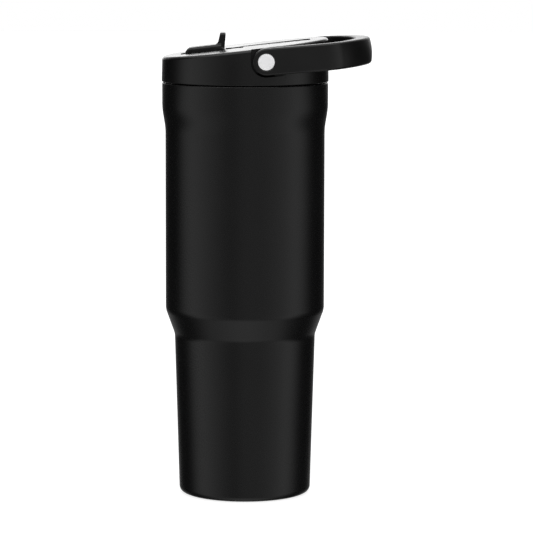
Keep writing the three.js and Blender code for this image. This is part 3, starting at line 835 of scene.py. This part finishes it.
def make_lid_plug():
    radius = PLUG_RADIUS
    wall = 2.2
    bottom = plug_low.z
    flange_bottom = LID_BOTTOM + 0.2
    flange_top = flange_bottom + wall
    flange = plug_high.x
    profile = [
        (0, bottom),
        *soften([(radius - 3, bottom), (radius, bottom), (radius, flange_bottom), (flange, flange_bottom),
                 (flange, flange_top), (radius - wall, flange_top), (radius - wall, bottom + 2),
                 (radius - wall - 3, bottom + 2)], 0.8),
        (0, bottom + 2),
    ]
    plug = lathe("screw_plug", profile, segments=144)
    boolean(plug, thread_ring("plug_thread", radius + 0.05, 213.5), "UNION")
    for x, bore in ((PORT_X, 5.5), (VENT_X, 2.4)):
        outer = bore + 1.4
        top = room_under_well(x, outer)
        boolean(plug, upright_bar("chimney", x, outer, bottom + 0.5, top), "UNION")
        boolean(plug, upright_bar("flue", x, bore, bottom - 1, top + 1))
    clean(plug)
    even_shading(plug)
    finish_piece(plug, "lid_plug", LID_PLASTIC)


def ring_profile(inner, outer, bottom, top, round_by):
    corners = [(inner, bottom), (outer, bottom), (outer, top), (inner, top)]
    profile = []
    for i, corner in enumerate(corners):
        profile += rounded_corner(corners[i - 1], corner, corners[(i + 1) % 4], round_by, 4)
    return profile + [profile[0]]


def make_lid_seals():
    low, high = box_mm("lid_gasket")
    gasket = lathe("rim_gasket", ring_profile(PLUG_RADIUS + 1.3, high.x, low.z, high.z, 0.25))
    finish_piece(gasket, "lid_gasket", SILICONE)

    low, high = box_mm("port_seal")
    at_port = Matrix.Translation((PORT_X, 0, 0))
    sleeve = lathe("port_sleeve", ring_profile(2.2, 4.2, low.z, PORT_SEAL_TOP, 0.3), 64, at_port)
    boolean(sleeve, cross_bar("barrel_space", HINGE.x, HINGE.z, BARREL_RADIUS + GAP, -9, 9, 64))
    shade(sleeve)
    finish_piece(sleeve, "port_seal", SILICONE)

    top = connector_high.z
    bottom = connector_low.z
    lower = plug_low.z
    radius = (straw_high.x - straw_low.x) / 2 + GAP
    profile = soften([
        (radius, bottom), (7.2, bottom), (7.2, lower - GAP), (5.2, lower - GAP), (5.2, top), (2.5, top),
        (2.5, straw_high.z + 1.5), (radius, straw_high.z + GAP), (radius, bottom + 1.2),
    ], 0.5)
    socket = lathe("straw_socket", profile + [profile[0]], 64, at_port)
    finish_piece(socket, "straw_connector", SILICONE)

    underside = WELL_DEPTH - WELL_BLOCK_DEPTH
    place = Matrix.Translation((VENT_X, 0, lid_top(VENT_X) - WELL_DEPTH)) @ Matrix.Rotation(-TOP_TILT, 4, "Y")
    barb = underside - 2.4
    stem = soften([
        (0.9, barb), (1.8, underside - 1.2), (0.95, underside - 0.5),
        (0.95, GAP + 0.1), (2.6, GAP), (2.8, GAP + 0.1),
    ], 0.25)
    umbrella = bend((2.75, GAP + 0.2), (2.3, 0.95), (0.6, 1.0), steps=8)
    valve = lathe("air_valve", [(0, barb), *stem, *umbrella, (0, 1.0)], 48, place)
    finish_piece(valve, "vent_valve", SILICONE)


def make_straw():
    radius = (straw_high.x - straw_low.x) / 2
    profile = ring_profile(radius - 0.7, radius, straw_low.z, straw_high.z, 0.3)
    tube = lathe("drinking_straw", profile, 64, Matrix.Translation((PORT_X, 0, 0)))
    finish_piece(tube, "straw", STRAW_PLASTIC)


# ---- Spout ----

def mouthpiece_solid():
    """The folded mouthpiece: rounded sections along its length, lower and narrower at the drinking end."""
    rings = []
    steps = 26
    tip_top = 2.2
    for i in range(steps + 1):
        from_tip = (MOUTHPIECE_LENGTH + 1.5) * i / steps
        x = from_tip - MOUTHPIECE_LENGTH
        rise = min(from_tip / 4.6, 1)
        top = tip_top + (MOUTHPIECE_TOP - tip_top) * (1 - (1 - rise) ** 2.8)
        heel = min(from_tip / 1.8, 1)
        bottom = MOUTHPIECE_BOTTOM + 1.5 * (1 - math.sqrt(1 - (1 - heel) ** 2))
        narrow = min(from_tip / 5, 1)
        half = SPOUT_HALF_WIDTH - 0.15 - 2.4 * (1 - math.sqrt(1 - (1 - narrow) ** 2))
        round_by = min(1.6, (top - bottom) * 0.4)
        ring = []
        for y, z in rounded_rectangle(-half, half, (top - bottom) / 2, round_by, 0):
            ring.append((x, y, z + (top + bottom) / 2))
        rings.append(ring)
    body = loft("mouthpiece", rings)
    body.data.transform(Matrix.Rotation(-TOP_TILT, 4, "Y"))
    return body


def tab_solid():
    """The thumb tab: an upright blade that flows into the mouthpiece's top."""
    foot = MOUTHPIECE_TOP
    outline = (
        [(2.3, 0), (2.45, 2)]
        + bend((3.2, TAB_TOP - 1.0), (3.25, TAB_TOP), (2.3, TAB_TOP), steps=6)
        + bend((1.1, TAB_TOP), (0.1, TAB_TOP), (0.0, TAB_TOP - 1.1), steps=6)
        + bend((-0.85, foot + 1.4), (-1.05, foot + 0.25), (-2.6, foot - 0.3), steps=8)
        + [(-2.8, 0)]
    )
    slices = []
    radius = 1.6
    for i in range(-6, 7):
        angle = math.radians(90 * i / 6)
        y = (TAB_HALF_WIDTH - radius) * (1 if i > 0 else -1 if i < 0 else 0) + radius * math.sin(angle)
        lower = radius * (1 - math.cos(angle))
        slices.append([(x, y, z - lower * max(0, (z - 6) / (TAB_TOP - 6))) for x, z in outline])
    return loft("tab", slices)


def barrel_solid():
    """The round bar that the spout turns on, with softened ends."""
    half = SPOUT_HALF_WIDTH
    shoulder = BARREL_RADIUS - 0.5
    profile = [
        (0, -half), *bend((shoulder, -half), (BARREL_RADIUS, -half), (BARREL_RADIUS, 0.5 - half), steps=4),
        *bend((BARREL_RADIUS, half - 0.5), (BARREL_RADIUS, half), (shoulder, half), steps=4), (0, half),
    ]
    return lathe("barrel", profile, 64, across(1))


def drink_channel():
    """The bore along the mouthpiece, flared at the lips, and the inlet that meets the port."""
    bore_radius = 2.4
    rise = (MOUTHPIECE_TOP + MOUTHPIECE_BOTTOM) / 2
    slope = math.atan2(rise, MOUTHPIECE_LENGTH)
    along = Matrix.Rotation(-math.pi / 2 + slope - TOP_TILT, 4, "Y")
    length = MOUTHPIECE_LENGTH + 4
    mouth = MOUTHPIECE_LENGTH - 0.6
    flare = bend((bore_radius, mouth - 0.6), (bore_radius, mouth + 0.2), (3.4, mouth + 0.9), steps=5)
    profile = [
        (0, 0), (bore_radius, 0), (bore_radius, mouth - 0.8), *flare, (3.6, length), (0, length),
    ]
    inlet_angle = math.radians(FLIP_ANGLE - 118.4)
    outward = Matrix.Rotation(math.pi / 2 - inlet_angle, 4, "Y")
    inlet = [(0, 0), (2.2, 0), (2.2, 6), (0, 6)]
    return lathe("bore", profile, 48, along), lathe("inlet", inlet, 48, outward)


def make_spout():
    spout = mouthpiece_solid()
    boolean(spout, barrel_solid(), "UNION")
    boolean(spout, tab_solid(), "UNION")
    for tool in drink_channel():
        boolean(spout, tool)
    for side in (-1, 1):
        boolean(spout, cross_bar("pin_hole", 0, 0, SPOUT_PIN_HOLE, side * 4, side * 9, 24))

    remesh = spout.modifiers.new("even", "REMESH")
    remesh.mode = "VOXEL"
    remesh.voxel_size = SPOUT_VOXEL * MM
    smooth = spout.modifiers.new("smooth", "SMOOTH")
    smooth.factor = 0.5
    smooth.iterations = 5
    evaluated(spout)
    spout.data.transform(Matrix.Translation(HINGE * MM))
    shade(spout, 80)
    spout.name = "flip_spout"
    finish_piece(spout, "spout", SPOUT_PLASTIC)

    for label, side in (("left", -1), ("right", 1)):
        profile = [(0, 4.4), *soften([(0.7, 4.4), (0.9, 4.6), (0.9, 11.4), (0.7, 11.6)], 0.1), (0, 11.6)]
        place = Matrix.Translation(HINGE) @ across(side)
        pin = lathe(f"spout_axle_{label}", profile, 32, place)
        finish_piece(pin, f"spout_pin_{label}", PIN_STEEL)


# ---- Handle ----

def nose_arc(nose_x, corner_y, corner_radius):
    """Radius and half angle of the loop's wide end arc, which blends into the arms' corner arcs."""
    reach = nose_x - CORNER_X
    radius = (reach * reach + corner_y * corner_y - corner_radius ** 2) / (2 * (reach - corner_radius))
    return radius, math.degrees(math.asin(corner_y / (radius - corner_radius)))


def loop_path(y, corner_radius, nose_x, hub_xs):
    """One edge of the handle seen from above, from the near hub round to the far hub."""
    arm_steps, corner_steps, nose_steps = 8, 10, 30
    corner_y = BAND_OUTER_Y - CORNER_RADIUS
    radius, angle = nose_arc(nose_x, corner_y, corner_radius)
    near = [(x, -y) for x in hub_xs]
    near += [(CORNER_X * i / arm_steps, -y) for i in range(1, arm_steps)]
    near += arc((CORNER_X, -corner_y), corner_radius, -90, -angle, corner_steps)
    nose = arc((nose_x - radius, 0), radius, -angle, angle, nose_steps)[1:-1]
    far = [(x, -yy) for x, yy in reversed(near)]
    return near + nose + far


def band_section(outer, inner, half_height, crown):
    """A rounded rectangle standing across the band, with its outer face slightly bowed."""
    outer, inner = Vector(outer), Vector(inner)
    thickness = (outer - inner).length
    direction = (outer - inner) / thickness
    round_by = min(1.2, half_height * 0.9, thickness * 0.45)
    flat = half_height - round_by
    shape = [(thickness, flat * k / 3) for k in range(-3, 4)]
    shape += arc((thickness - round_by, flat), round_by, 0, 90, 5)[1:]
    shape += arc((round_by, flat), round_by, 90, 180, 5)
    shape += [(0, flat * k / 2) for k in (1, 0, -1)]
    shape += arc((round_by, -flat), round_by, 180, 270, 5)
    shape += arc((thickness - round_by, -flat), round_by, 270, 360, 5)[:-1]
    ring = []
    for across_band, z in shape:
        if across_band > thickness / 2:
            across_band -= crown * (z / half_height) ** 2
        point = inner + direction * across_band
        ring.append(Vector((point.x, point.y, z)))
    return ring


def band_solid():
    """The handle's loop, lying along X from its round hubs to its nose."""
    hub_angles = (3, 8, 14, 21, 29, 38, 48, 59, 70, 80, 90)
    hub_xs = [-HUB_RADIUS * math.cos(math.radians(angle)) for angle in hub_angles]
    hub_edge = 1.2
    thickness = BAND_OUTER_Y - BAND_INNER_Y
    outer = loop_path(BAND_OUTER_Y, CORNER_RADIUS, NOSE_X, hub_xs)
    inner = loop_path(BAND_INNER_Y, CORNER_RADIUS - thickness, NOSE_X - NOSE_THICKNESS, hub_xs)
    rings = []
    for (ox, oy), (ix, iy) in zip(outer, inner):
        half_height = HUB_RADIUS
        if ox < 0:
            half_height = math.sqrt(max(HUB_RADIUS ** 2 - ox * ox, 0.01))
            from_edge = min(HUB_RADIUS + ox, hub_edge)
            squeeze = hub_edge - math.sqrt(max(hub_edge ** 2 - (hub_edge - from_edge) ** 2, 0))
            side = math.copysign(1, oy)
            oy -= side * squeeze
            iy += side * squeeze * 0.3
        along_loop = min(max(ox / NOSE_X, 0), 1)
        rings.append(band_section((ox, oy), (ix, iy), half_height, crown=0.9 * along_loop ** 2))
    return loft("carry_handle", rings, sharp_angle=50)


def make_handle():
    handle = band_solid()
    seat_radius = CAP_RADIUS + GAP
    seat = [
        (0, 43.6), (seat_radius, 43.6), (seat_radius, BAND_OUTER_Y - 0.35),
        (seat_radius + 0.12, BAND_OUTER_Y - 0.12), (seat_radius + 0.4, BAND_OUTER_Y + 0.01),
        (seat_radius + 0.6, BAND_OUTER_Y + 2), (0, BAND_OUTER_Y + 2),
    ]
    for side in (-1, 1):
        boolean(handle, lathe("cap_seat", seat, 96, across(side)))
        boolean(handle, cross_bar("bore", 0, 0, 3.9, side * 38, side * 45))
    clean(handle)
    tilt = Matrix.Translation(PIVOT * MM) @ Matrix.Rotation(-HANDLE_TILT, 4, "Y")
    handle.data.transform(tilt)
    even_shading(handle, 40)
    finish_piece(handle, "handle", HANDLE_PLASTIC)


def make_pivots():
    for label, side in (("left", -1), ("right", 1)):
        place = Matrix.Translation(PIVOT) @ Matrix.Rotation(-HANDLE_TILT, 4, "Y") @ across(side)
        radius = CAP_RADIUS
        cap = lathe(f"pivot_disc_{label}", [
            (0, 44.95), (radius - 0.2, 44.95), (radius, 45.1), (radius, 45.7),
            *bend((radius - 0.02, 45.8), (radius - 0.1, 46.05), (radius - 0.35, 46.05), steps=5),
            *bend((radius - 0.75, 46.03), (radius - 0.9, 45.9), (radius - 1.15, 45.9), steps=5),
            (0, 45.93),
        ], 96, place)
        finish_piece(cap, f"pivot_cap_{label}", CAP_METAL)
        head = radius - 0.2
        shank = soften([
            (2.1, 31.6), (2.5, 32), (2.5, 43.9), (head, 43.9), (head, 44.6), (head - 0.4, 44.6),
        ], 0.15)
        pin = lathe(f"hub_pin_{label}", [(0, 31.6), *shank, (0, 44.6)], 48, place)
        finish_piece(pin, f"pivot_pin_{label}", PIN_STEEL)
        bushing = lathe(f"hub_bushing_{label}", ring_profile(2.8, 3.6, 40.9, 43.3, 0.2), 48, place)
        finish_piece(bushing, f"pivot_bushing_{label}", ACETAL)
        washer = lathe(f"hub_washer_{label}", ring_profile(3.0, 6.2, 39.9, 40.3, 0.12), 64, place)
        finish_piece(washer, f"friction_washer_{label}", PIN_STEEL)


# ---- Studio ----

# Each light is a brightness round the mug times a brightness in height. Angles are in degrees:
# round the mug from the camera's side, positive to the right, and in height from the horizon.
TALL_SIDE_LIGHTS = {
    "around": [
        (-180, 0.3), (-168, 0.2), (-157, 0.02), (-140, 0.008), (-118, 0.008), (-110, 0.10),
        (-104, 0.3), (-97, 0.46), (-88, 0.6), (-78, 0.58), (-66, 0.49), (-53, 0.39),
        (-40, 0.29), (-28, 0.2), (-20, 0.18), (0, 0.3), (25, 0.29), (37, 0.33), (49, 0.39),
        (62, 0.46), (76, 0.62), (84, 0.64), (92, 0.5), (100, 0.29), (106, 0.13),
        (114, 0.015), (140, 0.01), (157, 0.025), (168, 0.2), (180, 0.3),
    ],
    "height": [(-42, 0), (-24, 1), (16, 1), (30, 0)],
    "strength": 0.97,
}
LOW_LIGHT = {
    "around": [
        (-180, 0.7), (-165, 0.6), (-145, 0.1), (-120, 0.03), (-92, 0.16), (-60, 0.72), (0, 1),
        (55, 0.75), (88, 0.16), (115, 0.03), (145, 0.1), (165, 0.6), (180, 0.7),
    ],
    "height": [(-90, 1), (-44, 1), (-30, 0)],
    "strength": 0.62,
}
BACK_LIGHT = {
    "around": [(-180, 1), (-168, 1), (-157, 0), (157, 0), (168, 1), (180, 1)],
    "height": [(-2, 0), (0.5, 1), (30, 1), (45, 0)],
    "strength": 1.9,
}
TOP_LIGHT = {
    "around": [(-180, 0.7), (-110, 0.5), (-70, 1), (70, 1), (110, 0.5), (180, 0.7)],
    "height": [(26, 0), (42, 1), (90, 1)],
    "strength": 1.45,
}
SIDE_LIGHT_WIDEST_AT = -0.1
SIDE_LIGHT_TAPER = 0.6


def ramp(tree, value, stops):
    """Turns a value from 0 to 1 into a brightness that eases from stop to stop."""
    node = tree.nodes.new("ShaderNodeValToRGB")
    node.color_ramp.interpolation = "EASE"
    elements = node.color_ramp.elements
    while len(elements) < len(stops):
        elements.new(0.5)
    for element, (position, brightness) in zip(elements, stops):
        element.position = position
    for element, (position, brightness) in zip(elements, stops):
        element.color = (brightness, brightness, brightness, 1)
    tree.links.new(value, node.inputs["Fac"])
    return node.outputs["Color"]


def light_zone(tree, around, height, light):
    round_stops = [(0.5 + angle / 360, value) for angle, value in light["around"]]
    height_stops = [(0.5 + angle / 180, value) for angle, value in light["height"]]
    shape = math_node(tree, "MULTIPLY", ramp(tree, around, round_stops), ramp(tree, height, height_stops))
    return math_node(tree, "MULTIPLY", shape, light["strength"])


def make_world():
    """A pale studio: soft lights at the sides, behind, above and below, with dark gaps between them.

    The side lights are widest just under the horizon. The camera itself sees plain white.
    """
    world = bpy.data.worlds.new("studio")
    bpy.context.scene.world = world
    world.use_nodes = True
    tree = world.node_tree
    tree.nodes.clear()
    direction = tree.nodes.new("ShaderNodeTexCoord").outputs["Generated"]
    parts = tree.nodes.new("ShaderNodeSeparateXYZ")
    tree.links.new(direction, parts.inputs["Vector"])

    def share_of(value, whole):
        return math_node(tree, "ADD", math_node(tree, "DIVIDE", value, whole), 0.5)

    x, y, z = parts.outputs
    turn = math_node(tree, "ARCTAN2", x, math_node(tree, "MULTIPLY", y, -1.0))
    around = share_of(turn, 2 * math.pi)
    height = share_of(math_node(tree, "ARCSINE", z), math.pi)
    off_widest = math_node(tree, "ABSOLUTE", math_node(tree, "ADD", z, -SIDE_LIGHT_WIDEST_AT))
    taper = math_node(tree, "ADD", math_node(tree, "MULTIPLY", off_widest, SIDE_LIGHT_TAPER), 1.0)
    tapered = share_of(math_node(tree, "MULTIPLY", turn, taper), 2 * math.pi)

    total = light_zone(tree, tapered, height, TALL_SIDE_LIGHTS)
    for light in (LOW_LIGHT, BACK_LIGHT, TOP_LIGHT):
        total = math_node(tree, "ADD", total, light_zone(tree, around, height, light))

    seen = tree.nodes.new("ShaderNodeBackground")
    seen.inputs["Color"].default_value = (1, 1, 1, 1)
    seen.inputs["Strength"].default_value = 1.0
    lighting = tree.nodes.new("ShaderNodeBackground")
    lighting.inputs["Color"].default_value = (1, 1, 1, 1)
    tree.links.new(total, lighting.inputs["Strength"])
    path = tree.nodes.new("ShaderNodeLightPath")
    mix = tree.nodes.new("ShaderNodeMixShader")
    output = tree.nodes.new("ShaderNodeOutputWorld")
    tree.links.new(path.outputs["Is Camera Ray"], mix.inputs["Fac"])
    tree.links.new(lighting.outputs["Background"], mix.inputs[1])
    tree.links.new(seen.outputs["Background"], mix.inputs[2])
    tree.links.new(mix.outputs["Shader"], output.inputs["Surface"])


def make_floor():
    """A pale floor that glows a little, so that it runs into the white behind the mug."""
    size = 6
    corners = [(-size, -size, 0), (size, -size, 0), (size, size, 0), (-size, size, 0)]
    mesh = bpy.data.meshes.new("floor")
    mesh.from_pydata(corners, [], [(0, 1, 2, 3)])
    floor = bpy.data.objects.new("floor", mesh)
    bpy.context.scene.collection.objects.link(floor)
    floor.location.z = cad_low.z - 0.0001
    surface = Surface("floor", (0.4, 0.4, 0.4), 0.8)
    surface.shader.inputs["Emission Color"].default_value = (1, 1, 1, 1)
    surface.shader.inputs["Emission Strength"].default_value = 0.8
    mesh.materials.append(surface.material)
    floor.visible_glossy = False


def make_camera():
    """Stands in front of the mug with a long lens, looking slightly down."""
    distance, height = 1.566, 0.3158
    yaw, pitch, roll = math.radians(-0.429), math.radians(-7), math.radians(0.12)
    data = bpy.data.cameras.new("camera")
    data.sensor_width = 36
    data.lens = 195.9
    data.clip_end = 50
    camera = bpy.data.objects.new("camera", data)
    tilt = Matrix.Rotation(math.pi / 2 + pitch, 4, "X") @ Matrix.Rotation(roll, 4, "Z")
    aim = Matrix.Rotation(yaw, 4, "Z") @ tilt
    camera.matrix_world = Matrix.Translation((0, -distance, height)) @ aim
    bpy.context.scene.collection.objects.link(camera)
    bpy.context.scene.camera = camera


bpy.context.scene.view_settings.view_transform = "Standard"
make_camera()
make_world()
make_floor()
make_outer_shell()
make_inner_liner()
make_base()
make_lid_cover()
make_lid_plug()
make_lid_seals()
make_straw()
make_spout()
make_handle()
make_pivots()
